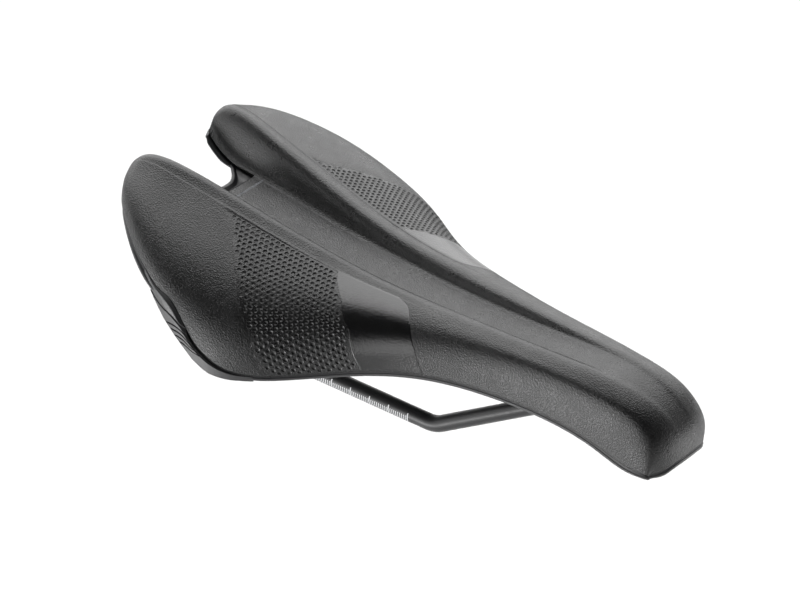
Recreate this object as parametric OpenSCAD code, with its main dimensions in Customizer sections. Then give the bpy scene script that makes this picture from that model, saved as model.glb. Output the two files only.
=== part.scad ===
// Bicycle saddle with two wings, a central channel and a rear notch.
// A skin and foam lie on a nylon shell, which one bent steel rail carries.
// Millimetres. +X points to the nose, +Z up, and Y = 0 is the mirror plane, so +Y is the rider's left.
// The origin is midway between the rail's two straight runs, at the middle of their clamp section.

/* [Rail] */
// Diameter of the round rail
rail_d = 7; // [6:0.1:7.5]
// Distance between the centrelines of the two straight runs
rail_gap = 44; // [42:0.5:46]
// Radius of the rail's centreline in the clamp section's bends
bend_r = 14; // [10:1:18]

/* [Pad] */
// Width over the wings
width = 143; // [136:1:155]
// Thickness of the cover skin
cover_t = 1; // [0.6:0.1:1]
// Thickness of the grip film
film_t = 0.4; // [0.2:0.1:0.8]
// Greatest thickness of the sit-bone inserts
insert_t = 4; // [2:0.5:5]

/* [Shell] */
// Wall of the nylon shell
shell_t = 2.1; // [1.6:0.1:2.1]
// How far the scuff guards stand out from the rim
guard_t = 3.6; // [2:0.2:4]

/* [Rear accessory mount] */
// Width of the receiver's slot
slot_w = 14; // [12:0.5:15]
// Height of the receiver's slot
slot_h = 6; // [5:0.5:7]

/* [Hidden] */

skin_col = [0.13, 0.13, 0.14];
film_col = [0.2, 0.2, 0.21];
foam_col = [0.55, 0.56, 0.58];
gel_col = [0.75, 0.7, 0.45];
nylon_col = [0.06, 0.06, 0.07];
rubber_col = [0.09, 0.09, 0.1];
steel_col = [0.22, 0.22, 0.24];
zinc_col = [0.6, 0.61, 0.63];

base_width = 143;
play = 0.05;
guard_gap = 0.1;

// One row per cross-section of the left half, from the tail to the nose:
// x, bow, channel corner y z, ridge y z, crease y z, rim y z, thickness, underside's shift in x.
STATIONS = [
  [-115, 4, 14, 65, 26, 69, 31, 67.6, 40, 60.5, 3.1, 0.6],
  [-111, 4, 12.5, 62, 25, 73.2, 30, 71.4, 46, 59.5, 8, 3],
  [-101, 4, 11.5, 56.5, 23, 73.5, 28, 72.2, 54, 56, 15, 2],
  [-87, 3, 11.5, 55, 21, 70.3, 25.5, 68.9, 62, 50, 17, 1],
  [-71, 3, 11, 53.5, 19, 66, 23.5, 65.2, 67.5, 42.5, 15.5, 0],
  [-51, 2, 10, 51, 17, 60.5, 21, 60.4, 71, 31, 13, 0],
  [-31, 0, 9, 49, 15, 56, 19, 56, 71.5, 19, 10.5, 0],
  [-8, -1, 8, 47, 13.5, 51.5, 18, 52, 55.5, 20.5, 8.5, 0],
  [16, -1, 7, 45.5, 12.5, 49.5, 17, 50.5, 40.5, 26, 8, 0],
  [42, -1, 6.5, 45.3, 11, 48.9, 16.5, 49.2, 31, 30.5, 7.5, 0],
  [70, -1, 6, 45.6, 10, 48.4, 15.5, 47.6, 24.5, 30, 7, 0],
  [97, -2, 5, 47, 9, 48, 15, 47, 21.5, 28.5, 7, 0],
  [121, -4, 3, 47.4, 8, 47.6, 14.5, 45, 20.5, 25, 7, -1],
  [138, -5, 2, 42, 6, 42.3, 14.5, 42, 20, 18.5, 6.5, -2.5],
  [149, -4.5, 2, 33, 5.5, 33, 14.5, 30.5, 19.5, 19, 6, -4],
  [149.5, -6, 2, 21.5, 5, 21.5, 13, 19, 18, 18.3, 3.1, -0.6]];

// Sideways shift of the underside's control points, and how much of the thickness each one takes.
SIDE = [0, 0.8, 1.6, 1, 0, -0.8, -2, -3, -3.6, -0.6];
DROP = [0, 0.12, 0.85, 1, 0.95, 0.87, 0.72, 0.42];
floor_t = 4;
rim_t = 3.1;

// Where the surface is sampled, along and across.
ROWS = [0:0.5:15];
COLS = [0, 0.9, 1.8, 2.6, 3.4, 4.4, 5.4, 6.4, 7.4, 8.2, 9];
last_row = 30;
half = len(COLS);
across = 2 * half;

// The notch ends here: the shell runs one row further back than the pad.
pad_notch = 6;
shell_notch = 5;

function bow(s, y) = s[1] >= 0
  ? s[1] * pow((y - (s[2] + s[8]) / 2) / ((s[8] - s[2]) / 2), 2)
  : s[1] * pow(y / s[8], 3);

function place(s, p) = [s[0] + bow(s, p[0]), p[0] * width / base_width, p[1]];

// Towards the tail the wing's face falls away sooner past the crease; along the nose it stays
// flat further out and turns down more tightly.
function clamp01(t) = min(1, max(0, t));
function tail_share(s) = clamp01((-31 - s[0]) / 60);
function nose_share(s) = clamp01((s[0] - 16) / 50) * clamp01((150 - s[0]) / 15);

function outer(s) =
  let (inner_w = s[4] - s[2], rise = s[5] - s[3], outer_w = s[8] - s[6], fall = s[7] - s[9],
       tail = tail_share(s), nose = nose_share(s))
  [for (p = [
      [s[2], s[3]],
      [s[2] + 0.4 * inner_w, s[3] + 0.14 * rise],
      [s[2] + 0.6 * inner_w, s[3] + 0.76 * rise],
      [s[4], s[5] + 0.02 * fall],
      [(s[4] + s[6]) / 2, (s[5] + s[7]) / 2 + 0.5],
      [s[6], s[7]],
      [s[6] + 0.5 * outer_w, s[7] - (0.16 + 0.1 * tail - 0.09 * nose) * fall],
      [s[6] + 0.8 * outer_w, s[7] - (0.42 + 0.07 * tail - 0.07 * nose) * fall],
      [s[6] + 0.95 * outer_w, s[7] - (0.72 + 0.035 * tail) * fall],
      [s[8], s[9]]]) place(s, p)];

function drop(t, j) = j == 9 ? rim_t
  : j == 8 ? min(t, rim_t + 0.1)
  : min(t, floor_t) + DROP[j] * (t - min(t, floor_t));

function under(s) =
  let (o = outer(s), k = min(1, s[10] / 8))
  [for (j = [0:9]) o[j] + [s[11], k * SIDE[j], -drop(s[10], j)]];

// Uniform cubic B-spline through a list of control points, reflected past both ends.
function basis(t) = [pow(1 - t, 3), 3 * pow(t, 3) - 6 * t * t + 4,
  -3 * pow(t, 3) + 3 * t * t + 3 * t + 1, pow(t, 3)] / 6;
function ctl(P, k) = k < 0 ? 2 * P[0] - P[1]
  : k > len(P) - 1 ? 2 * P[len(P) - 1] - P[len(P) - 2]
  : P[k];
function spline(P, u) =
  let (k = min(floor(u), len(P) - 2), b = basis(u - k))
  b[0] * ctl(P, k - 1) + b[1] * ctl(P, k) + b[2] * ctl(P, k + 1) + b[3] * ctl(P, k + 2);

function mirror_y(p) = [p[0], -p[1], p[2]];
function both(row) = concat([for (j = [half - 1:-1:0]) mirror_y(row[j])], row);
function loft_grid(nets) =
  let (lines = [for (v = COLS) [for (n = nets) spline(n, v)]])
  [for (u = ROWS) both([for (line = lines) spline(line, u)])];

TOP = loft_grid([for (s = STATIONS) outer(s)]);
UNDER = loft_grid([for (s = STATIONS) under(s)]);

// A point of the pad's thickness: d below the cover's face, along the line to the underside.
function thick(i, j) = norm(UNDER[i][j] - TOP[i][j]);
function at(i, j, d) = TOP[i][j] + (UNDER[i][j] - TOP[i][j]) * d / thick(i, j);
function shell_depth(i, j) = max(cover_t, thick(i, j) - shell_t);
function grid(rows, cols, depths) =
  [for (i = rows) [for (j = cols) at(i, j, depths[i][j])]];

ALL_ROWS = [0:last_row];
ALL_COLS = [0:across - 1];
FACE = [for (i = ALL_ROWS) [for (j = ALL_COLS) 0]];
SKIN = [for (i = ALL_ROWS) [for (j = ALL_COLS) cover_t]];
FILM = [for (i = ALL_ROWS) [for (j = ALL_COLS) -film_t]];
BASE = [for (i = ALL_ROWS) [for (j = ALL_COLS) shell_depth(i, j)]];
BACK = [for (i = ALL_ROWS) [for (j = ALL_COLS) thick(i, j)]];

// The sit-bone inserts lie on the shell, under the foam.
insert_rows = [6, 12];
insert_cols = [5, 8];
function outboard(j) = j < half ? half - 1 - j : j - half;
function in_insert(i, j, m) = i >= insert_rows[0] + m && i <= insert_rows[1] - m
  && outboard(j) >= insert_cols[0] + m && outboard(j) <= insert_cols[1] - m;
function insert_h(i, j) = in_insert(i, j, 1) ? min(insert_t, 0.45 * (BASE[i][j] - cover_t))
  : in_insert(i, j, 0) ? 0.4
  : 0;
LOFT = [for (i = ALL_ROWS) [for (j = ALL_COLS) BASE[i][j] - insert_h(i, j)]];

// A closed solid between two grids of points, over the cells that the map holds.
// The cells' diagonals mirror at Y = 0, so the left and right halves match.
function cell(M, i, j) = i >= 0 && j >= 0 && i < len(M) && j < len(M[0]) && M[i][j];
function wall(p, q, n) = [[q, p, p + n], [q, p + n, q + n]];
function halves(a, b, e, d, flip) = flip ? [[a, b, d], [b, e, d]] : [[a, b, e], [a, e, d]];
function cell_faces(M, i, j, c, n, flip) =
  let (a = i * c + j, b = a + 1, d = a + c, e = a + c + 1)
  concat(
    halves(a, b, e, d, flip),
    [for (f = halves(a + n, b + n, e + n, d + n, flip)) [f[2], f[1], f[0]]],
    cell(M, i - 1, j) ? [] : wall(a, b, n),
    cell(M, i, j + 1) ? [] : wall(b, e, n),
    cell(M, i + 1, j) ? [] : wall(e, d, n),
    cell(M, i, j - 1) ? [] : wall(d, a, n));
module sheet(upper, lower, M) {
  c = len(upper[0]);
  n = len(upper) * c;
  polyhedron(
    points = concat([for (r = upper) each r], [for (r = lower) each r]),
    faces = [for (i = [0:len(M) - 1]) for (j = [0:len(M[0]) - 1]) if (M[i][j])
      each cell_faces(M, i, j, c, n, upper[i][j][1] + upper[i][j + 1][1] < 0)],
    convexity = 6);
}
function whole_map(notch) =
  [for (i = [0:last_row - 1]) [for (j = [0:across - 2]) i >= notch || j != half - 1]];
function foam_map() =
  [for (i = [0:last_row - 3]) [for (j = [0:across - 4])
    i > pad_notch - 1 || abs(j - (half - 2)) > 1]];
function full_map(r, c) = [for (i = [1:r]) [for (j = [1:c]) true]];

module shell() {
  color(nylon_col)
    sheet(grid(ALL_ROWS, ALL_COLS, BASE), grid(ALL_ROWS, ALL_COLS, BACK), whole_map(shell_notch));
}

module cover() {
  color(skin_col)
    sheet(grid(ALL_ROWS, ALL_COLS, FACE), grid(ALL_ROWS, ALL_COLS, SKIN), whole_map(pad_notch));
}

module foam_pad() {
  rows = [1:last_row - 1];
  cols = [1:across - 2];
  color(foam_col)
    sheet(grid(rows, cols, SKIN), grid(rows, cols, LOFT), foam_map());
}

module patch(side, rows, outward, upper, lower) {
  cols = side > 0 ? [half + outward[0]:half + outward[1]]
    : [half - 1 - outward[1]:half - 1 - outward[0]];
  sheet(grid([rows[0]:rows[1]], cols, upper), grid([rows[0]:rows[1]], cols, lower),
    full_map(rows[1] - rows[0], outward[1] - outward[0]));
}

module sit_pad(side) {
  color(gel_col) patch(side, insert_rows, insert_cols, LOFT, BASE);
}

module grip_patch(side) {
  color(film_col) patch(side, [9, 16], [5, 9], FILM, FACE);
}

// Scuff guard: a moulded strip lofted along the rim at the widest part of the wing.
GUARD_ROWS = [7, 8, 9, 10, 11, 12];
GUARD_GROW = [0.2, 0.6, 0.9, 1, 0.8, 0.25];
function unit(v) = v / norm(v);
function rim_out(i) =
  let (t = TOP[i + 1][across - 1] - TOP[i - 1][across - 1])
  unit([-t[1], t[0], 0]);
function guard_ring(i, k) =
  let (n = rim_out(i), hi = TOP[i][across - 2], rim = TOP[i][across - 1],
    low = UNDER[i][across - 1], g = n * guard_gap)
  [hi + g, rim + g, low + g, low + g - [0, 0, 0.9 * k], low + n * guard_t * k - [0, 0, 0.7 * k],
    rim + n * (guard_gap + guard_t * k), hi + n * (guard_gap + 0.6 * guard_t * k)];
function ring_faces(i, c) = [for (j = [0:c - 1]) each
  let (a = i * c + j, b = i * c + (j + 1) % c) [[a, b, b + c], [a, b + c, a + c]]];
module scuff_guard(side) {
  rings = [for (i = [0:len(GUARD_ROWS) - 1]) guard_ring(GUARD_ROWS[i], GUARD_GROW[i])];
  c = len(rings[0]);
  n = len(rings);
  color(rubber_col)
    mirror([0, side > 0 ? 0 : 1, 0])
      polyhedron(
        points = [for (r = rings) each r],
        faces = concat(
          [for (i = [0:n - 2]) each ring_faces(i, c)],
          [[for (j = [c - 1:-1:0]) j]],
          [[for (j = [0:c - 1]) (n - 1) * c + j]]),
        convexity = 4);
}

// The rail's centreline: corners and the radius that each one is bent to.
rail_y = rail_gap / 2;
loop_z = 31.5;
LEFT_RUN = [
  [[-78, 27 * width / base_width, 42], 0],
  [[-40, rail_y, 0], bend_r],
  [[40, rail_y, 0], bend_r],
  [[100, 10, loop_z], 12],
  [[121, 10, loop_z], 9]];
RAIL = concat(LEFT_RUN, [for (k = [len(LEFT_RUN) - 1:-1:0]) [mirror_y(LEFT_RUN[k][0]), LEFT_RUN[k][1]]]);

function turn(P, k) =
  let (u = unit(P[k][0] - P[k - 1][0]), v = unit(P[k + 1][0] - P[k][0]))
  acos(u * v);
function trim(P, k) = k == 0 || k == len(P) - 1 ? 0 : P[k][1] * tan(turn(P, k) / 2);

module rod(p, q, r) {
  d = q - p;
  l = norm(d);
  translate(p)
    rotate([0, acos(d[2] / l), atan2(d[1], d[0])])
      cylinder(r = r, h = l, $fn = 32);
}

module elbow(P, k, r) {
  back = unit(P[k - 1][0] - P[k][0]);
  ahead = unit(P[k + 1][0] - P[k][0]);
  angle = turn(P, k);
  centre = P[k][0] + unit(back + ahead) * P[k][1] / cos(angle / 2);
  x = unit(P[k][0] + back * trim(P, k) - centre);
  z = unit(cross(x, P[k][0] + ahead * trim(P, k) - centre));
  y = cross(z, x);
  multmatrix([
      [x[0], y[0], z[0], centre[0]],
      [x[1], y[1], z[1], centre[1]],
      [x[2], y[2], z[2], centre[2]],
      [0, 0, 0, 1]])
    rotate_extrude(angle = angle, $fn = 48)
      translate([P[k][1], 0])
        circle(r = r, $fn = 32);
}

// Each straight run is drawn a hair thinner than the bends and laps into them.
draw_down = 0.02;
function lap(P, k) = k == 0 || k == len(P) - 1 ? 0 : 0.3;
module bent_rod(P, r) {
  for (k = [0:len(P) - 2]) {
    d = unit(P[k + 1][0] - P[k][0]);
    rod(P[k][0] + d * (trim(P, k) - lap(P, k)),
      P[k + 1][0] - d * (trim(P, k + 1) - lap(P, k + 1)),
      r - draw_down);
  }
  for (k = [1:len(P) - 2]) elbow(P, k, r);
}

module rail() {
  color(steel_col) bent_rod(RAIL, rail_d / 2);
}

// A block whose top fits the shell's underside and whose foot is flat at height z.
module boss(rows, cols, z) {
  top = grid(rows, cols, BACK);
  foot = [for (r = top) [for (p = r) [p[0], p[1], z]]];
  sheet(top, foot, full_map(len(top) - 1, len(top[0]) - 1));
}

socket_rows = [5:8];
socket_cols = [half + 4:half + 6];
socket_z = 36;
socket_screw = [-86.5, 27 * width / base_width];
module rail_socket(side) {
  end = RAIL[0][0];
  way = unit(RAIL[1][0] - end);
  color(nylon_col)
    mirror([0, side > 0 ? 0 : 1, 0])
      difference() {
        boss(socket_rows, socket_cols, socket_z);
        rod(end - way * play, end + way * 30, rail_d / 2 + play);
        screw_hole(socket_screw, socket_z, side_screw_l, 1.5);
      }
}

// Pan-head screw driven upwards: its head's bearing face is at height z.
module screw_hole(at_xy, z, l, r) {
  translate([at_xy[0], at_xy[1], z - 1]) cylinder(r = r + play, h = l + 1 + play, $fn = 32);
}
module screw(at_xy, z, l, r, head_r, head_h, key) {
  translate([at_xy[0], at_xy[1], z])
    difference() {
      union() {
        cylinder(r = r, h = l, $fn = 32);
        translate([0, 0, -head_h]) cylinder(r = head_r, h = head_h, $fn = 48);
      }
      translate([0, 0, -head_h - 1]) cylinder(r = key, h = 0.65 * head_h + 1, $fn = 6);
    }
}

side_screw_l = 11;
module side_screw(side, at_xy, z) {
  color(zinc_col)
    mirror([0, side > 0 ? 0 : 1, 0]) screw(at_xy, z, side_screw_l, 1.5, 2.8, 1.8, 1.2);
}

// The loop at the nose is held between a bridge on the shell and a keeper plate below it.
nose_rows = [22:25];
nose_cols = [half - 6:half + 5];
nose_screw_xy = [112, 0];
keeper_t = 5.5;
module nose_bridge() {
  color(nylon_col)
    difference() {
      boss(nose_rows, nose_cols, loop_z);
      bent_rod(RAIL, rail_d / 2 + play);
      screw_hole(nose_screw_xy, loop_z, 6, 2.5);
    }
}

module nose_keeper() {
  color(nylon_col)
    difference() {
      translate([112, 0, loop_z - keeper_t])
        linear_extrude(keeper_t)
          hull() for (x = [-7, 10], y = [-11, 11]) translate([x, y]) circle(r = 4, $fn = 32);
      bent_rod(RAIL, rail_d / 2 + play);
      translate([nose_screw_xy[0], nose_screw_xy[1], loop_z - keeper_t - 1])
        cylinder(r = 2.5 + play, h = keeper_t + 2, $fn = 32);
    }
}

module nose_screw() {
  color(zinc_col)
    screw(nose_screw_xy, loop_z - keeper_t, keeper_t + 6, 2.5, 4.5, 3, 2.3);
}

// Receiver under the rear of the channel: a rear accessory slides in from behind.
mount_rows = [5:8];
mount_cols = [half - 1:half];
mount_z = 37;
slot_z = 40;
slot_end = -76;
mount_screw = [-71, 6.5];
module accessory_mount() {
  color(nylon_col)
    difference() {
      boss(mount_rows, mount_cols, mount_z);
      translate([slot_end - 30, -slot_w / 2, slot_z]) cube([30, slot_w, slot_h]);
      translate([slot_end - 30, 3 - slot_w / 2, mount_z - 1]) cube([30, slot_w - 6, slot_z - mount_z + 2]);
      for (y = [-1, 1]) screw_hole([mount_screw[0], y * mount_screw[1]], mount_z, side_screw_l, 1.5);
    }
}

shell();
foam_pad();
cover();
sit_pad(1);  // sit_pad_left
sit_pad(-1);  // sit_pad_right
grip_patch(1);  // grip_patch_left
grip_patch(-1);  // grip_patch_right
scuff_guard(1);  // scuff_guard_left
scuff_guard(-1);  // scuff_guard_right
rail();
rail_socket(1);  // rail_socket_left
rail_socket(-1);  // rail_socket_right
side_screw(1, socket_screw, socket_z);  // socket_screw_left
side_screw(-1, socket_screw, socket_z);  // socket_screw_right
nose_bridge();
nose_keeper();
nose_screw();
accessory_mount();
side_screw(1, mount_screw, mount_z);  // mount_screw_left
side_screw(-1, mount_screw, mount_z);  // mount_screw_right
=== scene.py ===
"""Bicycle saddle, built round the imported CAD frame.

Everything is in metres in the row frame: +X nose, +Z up, +Y rider's left.  Lengths named *_mm and
the surface functions are in millimetres, and MM turns them into metres.
"""
import math
import bpy
import numpy as np
from mathutils import Matrix, Vector


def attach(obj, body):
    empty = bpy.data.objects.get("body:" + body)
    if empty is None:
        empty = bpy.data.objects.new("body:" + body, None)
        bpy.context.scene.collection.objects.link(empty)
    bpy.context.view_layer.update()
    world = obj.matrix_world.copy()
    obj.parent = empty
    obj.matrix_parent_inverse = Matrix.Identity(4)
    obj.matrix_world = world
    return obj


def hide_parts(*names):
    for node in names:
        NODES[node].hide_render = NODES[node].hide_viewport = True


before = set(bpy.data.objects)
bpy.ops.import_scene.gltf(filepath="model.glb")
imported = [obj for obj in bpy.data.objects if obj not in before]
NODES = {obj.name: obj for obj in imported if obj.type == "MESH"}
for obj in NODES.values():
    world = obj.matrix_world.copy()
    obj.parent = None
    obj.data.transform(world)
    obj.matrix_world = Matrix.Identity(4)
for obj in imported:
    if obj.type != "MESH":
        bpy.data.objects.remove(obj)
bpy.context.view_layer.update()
MM = 0.001

# ---- camera
CAM_AZIMUTH = math.radians(39.02)
CAM_ELEVATION = math.radians(32.54)
CAM_DISTANCE = 1.962
CAM_SHIFT_RIGHT = 0.00282
CAM_SHIFT_UP = 0.0276
CAM_LENS = 214.5
CAM_SENSOR_MM = 36
CAM_CLIP = (0.05, 60)


def make_camera():
    sin_a, cos_a = math.sin(CAM_AZIMUTH), math.cos(CAM_AZIMUTH)
    sin_e, cos_e = math.sin(CAM_ELEVATION), math.cos(CAM_ELEVATION)
    right = Vector((cos_a, sin_a, 0))
    up = Vector((-sin_a * sin_e, cos_a * sin_e, cos_e))
    back = Vector((sin_a * cos_e, -cos_a * cos_e, sin_e))
    data = bpy.data.cameras.new("camera")
    data.lens = CAM_LENS
    data.sensor_width = CAM_SENSOR_MM
    data.clip_start, data.clip_end = CAM_CLIP
    cam = bpy.data.objects.new("camera", data)
    bpy.context.scene.collection.objects.link(cam)
    cam.matrix_world = Matrix((right, up, back)).transposed().to_4x4()
    cam.location = back * CAM_DISTANCE + right * CAM_SHIFT_RIGHT + up * CAM_SHIFT_UP
    bpy.context.scene.camera = cam


# ---- the pad's surface, in millimetres
# One row per cross-section of the left half, from the tail to the nose:
# x, bow, channel corner y z, ridge y z, crease y z, rim y z, thickness, underside's shift in x.
STATIONS = [
    [-115, 4, 14, 65, 26, 69, 31, 67.6, 40, 60.5, 3.1, 0.6],
    [-111, 4, 12.5, 62, 25, 73.2, 30, 71.4, 46, 59.5, 8, 3],
    [-101, 4, 11.5, 56.5, 23, 73.5, 28, 72.2, 54, 56, 15, 2],
    [-87, 3, 11.5, 55, 21, 70.3, 25.5, 68.9, 62, 50, 17, 1],
    [-71, 3, 11, 53.5, 19, 66, 23.5, 65.2, 67.5, 42.5, 15.5, 0],
    [-51, 2, 10, 51, 17, 60.5, 21, 60.4, 71, 31, 13, 0],
    [-31, 0, 9, 49, 15, 56, 19, 56, 71.5, 19, 10.5, 0],
    [-8, -1, 8, 47, 13.5, 51.5, 18, 52, 55.5, 20.5, 8.5, 0],
    [16, -1, 7, 45.5, 12.5, 49.5, 17, 50.5, 40.5, 26, 8, 0],
    [42, -1, 6.5, 45.3, 11, 48.9, 16.5, 49.2, 31, 30.5, 7.5, 0],
    [70, -1, 6, 45.6, 10, 48.4, 15.5, 47.6, 24.5, 30, 7, 0],
    [97, -2, 5, 47, 9, 48, 15, 47, 21.5, 28.5, 7, 0],
    [121, -4, 3, 47.4, 8, 47.6, 14.5, 45, 20.5, 25, 7, -1],
    [138, -5, 2, 42, 6, 42.3, 14.5, 42, 20, 18.5, 6.5, -2.5],
    [149, -4.5, 2, 33, 5.5, 33, 14.5, 30.5, 19.5, 19, 6, -4],
    [149.5, -6, 2, 21.5, 5, 21.5, 13, 19, 18, 18.3, 3.1, -0.6],
]
# Sideways shift of the underside's control points, and each inner one's share of the thickness that
# lies beyond FLOOR_MM.  A section at least FULL_SHIFT_MM thick takes the whole shift.
SIDE = [0, 0.8, 1.6, 1, 0, -0.8, -2, -3, -3.6, -0.6]
DROP = [0, 0.12, 0.85, 1, 0.95, 0.87, 0.72, 0.42]
FULL_SHIFT_MM = 8
FLOOR_MM = 4
RIM_MM = 3.1
U_MAX = 15
V_MAX = 9
COVER_MM = 1.0
SHELL_MM = 2.1
# The tail's steeper wings start at TAIL_X and are fully so after TAIL_LENGTH; the nose's squarer
# section grows over NOSE_GROW from NOSE_X and fades over NOSE_FADE before NOSE_END_X.
TAIL_X, TAIL_LENGTH = -31, 60
NOSE_X, NOSE_GROW = 16, 50
NOSE_END_X, NOSE_FADE = 150, 15


def bow(s, y):
    """How far forward of the station's x a point at y lies."""
    if s[1] >= 0:
        return s[1] * ((y - (s[2] + s[8]) / 2) / ((s[8] - s[2]) / 2)) ** 2
    return s[1] * (y / s[8]) ** 3


def clamped(t):
    return min(1, max(0, t))


def outer_points(s):
    """Control points of one section's face, channel to rim."""
    inner_w, rise = s[4] - s[2], s[5] - s[3]
    outer_w, fall = s[8] - s[6], s[7] - s[9]
    # Towards the tail the wing's face falls away sooner past the crease; along the nose it stays
    # flat further out and turns down more tightly.
    tail = clamped((TAIL_X - s[0]) / TAIL_LENGTH)
    nose = clamped((s[0] - NOSE_X) / NOSE_GROW) * clamped((NOSE_END_X - s[0]) / NOSE_FADE)
    section = [
        (s[2], s[3]),
        (s[2] + 0.4 * inner_w, s[3] + 0.14 * rise),
        (s[2] + 0.6 * inner_w, s[3] + 0.76 * rise),
        (s[4], s[5] + 0.02 * fall),
        ((s[4] + s[6]) / 2, (s[5] + s[7]) / 2 + 0.5),
        (s[6], s[7]),
        (s[6] + 0.5 * outer_w, s[7] - (0.16 + 0.1 * tail - 0.09 * nose) * fall),
        (s[6] + 0.8 * outer_w, s[7] - (0.42 + 0.07 * tail - 0.07 * nose) * fall),
        (s[6] + 0.95 * outer_w, s[7] - (0.72 + 0.035 * tail) * fall),
        (s[8], s[9]),
    ]
    return np.array([(s[0] + bow(s, y), y, z) for y, z in section])


def drop(t, j):
    """How far the underside's control point j lies below the face, in a section t mm thick."""
    if j == 9:
        return RIM_MM
    if j == 8:
        return min(t, RIM_MM + 0.1)
    return min(t, FLOOR_MM) + DROP[j] * (t - min(t, FLOOR_MM))


def under_points(s):
    k = min(1, s[10] / FULL_SHIFT_MM)
    return outer_points(s) + np.array([(s[11], k * SIDE[j], -drop(s[10], j)) for j in range(len(SIDE))])


OUTER = np.array([outer_points(s) for s in STATIONS])
UNDER = np.array([under_points(s) for s in STATIONS])


def weights(count, at):
    """Cubic B-spline weights over count control points, reflected past both ends."""
    k = np.clip(at.astype(int), 0, count - 2)
    t = at - k
    basis = [(1 - t) ** 3, 3 * t**3 - 6 * t**2 + 4, -3 * t**3 + 3 * t**2 + 3 * t + 1, t**3]
    basis = np.stack(basis, 1) / 6
    w = np.zeros((len(at), count + 2))
    for j in range(4):
        w[np.arange(len(at)), k + j] += basis[:, j]
    w[:, 1] += 2 * w[:, 0]
    w[:, 2] -= w[:, 0]
    w[:, -2] += 2 * w[:, -1]
    w[:, -3] -= w[:, -1]
    return w[:, 1:-1]


def spline(net, u, v):
    """Points of a control net at arrays u (tail 0 to nose 15) and v (channel 0 to rim 9)."""
    u, v = np.broadcast_arrays(np.asarray(u, float), np.asarray(v, float))
    rows = weights(len(net), u.ravel()) @ net.reshape(len(net), -1)
    rows = rows.reshape(-1, net.shape[1], 3)
    return np.einsum("iv,ivk->ik", weights(net.shape[1], v.ravel()), rows).reshape(u.shape + (3,))


def unit(a):
    """Vectors along the last axis, scaled to length 1."""
    return a / np.maximum(np.linalg.norm(a, axis=-1, keepdims=True), 1e-9)


def normal(u, v, step=0.01):
    """Outward unit normal of the left half's face."""
    du = spline(OUTER, np.minimum(u + step, U_MAX), v) - spline(OUTER, np.maximum(u - step, 0), v)
    dv = spline(OUTER, u, np.minimum(v + step, V_MAX)) - spline(OUTER, u, np.maximum(v - step, 0))
    return unit(np.cross(du, dv))


def smooth(lo, hi, x):
    """0 up to lo, rising smoothly to 1 at hi."""
    t = np.clip((x - lo) / (hi - lo), 0, 1)
    return t * t * (3 - 2 * t)


def bump(x):
    """1 at x = 0, falling smoothly to 0 at x = -1 and 1."""
    return np.where(np.abs(x) < 1, np.cos(np.clip(x, -1, 1) * math.pi / 2) ** 2, 0.0)


# ---- where the details lie on the surface
# The u where the padded channel ends, and where the shell's web behind it ends.
PAD_NOTCH = 3.0
SHELL_NOTCH = 1.9
# The cover's edge stays this far above the rim along the wing's rear, and further at the guard.
TAIL_GAP_MM = 1.3
GUARD_RISE_MM = 3.6
GUARD_PEAK_U = 4.4
GUARD_RISE_U, GUARD_FALL_U = 0.75, 0.85
DIMPLE_PITCH_MM = 2.5
DIMPLE_ROW_MM = 2.25
DIMPLE_RADIUS_MM = 0.9
DIMPLE_FLOOR_MM = 0.5
DIMPLE_DEPTH_MM = 0.34
DIMPLE_LIP_MM = 0.05
DIMPLE_LIP_OUT_MM = 0.12
DIMPLE_LIP_HALF_MM = 0.2
DIMPLE_CLEAR_MM = 1.0
# Edges of the textured zone and of the smooth film ahead of it: (v, u) pairs.
ZONE_REAR = [(5.0, 4.15), (5.2, 4.4), (5.7, 4.9), (6.3, 5.5), (7.1, 6.05), (7.8, 6.35), (9.0, 6.65)]
ZONE_FRONT = [(5.0, 6.85), (5.3, 6.95), (5.9, 7.3), (6.9, 7.7), (9.0, 8.05)]
FILM_FRONT = [(5.0, 8.25), (5.6, 8.42), (6.2, 8.58), (7.4, 8.8), (9.0, 9.0)]
TEXTURE_OVERLAP_U = 0.05
RECESS_OVERLAP_U = 0.12
TEXTURE_FRONT = [(v, u + TEXTURE_OVERLAP_U) for v, u in ZONE_FRONT]
RECESS_FRONT = [(v, u + RECESS_OVERLAP_U) for v, u in ZONE_FRONT]
CREASE_MM = 0.18


def edge_u(edge, v):
    """The u of an edge of the zone at v."""
    return np.interp(v, [p[0] for p in edge], [p[1] for p in edge])


def crease_v(u):
    """The moulded line along each wing."""
    return np.interp(u, [0, 1.2, 2.2, 3.0, 15], [4.4, 4.74, 4.9, 4.95, 4.95])


def crease_depth(u):
    return CREASE_MM * smooth(0.5, 1.3, u) * (1 - smooth(7.6, 9.2, u))


def bite(u):
    """How far, in mm, the cover's edge stays above the rim: most where the scuff guard comes up."""
    past = u - GUARD_PEAK_U
    guard = GUARD_RISE_MM * np.where(past < 0, bump(past / GUARD_RISE_U), bump(past / GUARD_FALL_U))
    return guard + TAIL_GAP_MM * tail_gap(u)


def tail_gap(u):
    """1 along the wing's rear, 0 from the guard forward."""
    return smooth(0.2, 0.9, u) * (1 - smooth(3.5, 4.3, u))


def rim_pace(u, step=0.1):
    """Millimetres per unit of v at the rim."""
    across = spline(OUTER, u, V_MAX + 0 * u) - spline(OUTER, u, V_MAX - step + 0 * u)
    return np.linalg.norm(across, axis=-1) / step


def edge_v(u):
    """The cover's lower edge."""
    return V_MAX - bite(u) / rim_pace(u)


# The zone's rear and front edges run slantwise, so the distance to them is less than that along u.
REAR_SLANT = 0.75
FRONT_SLANT = 0.85
ZONE_CORNER_MM = 4.0
ZONE_RIM_MM = 0.3


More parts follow.
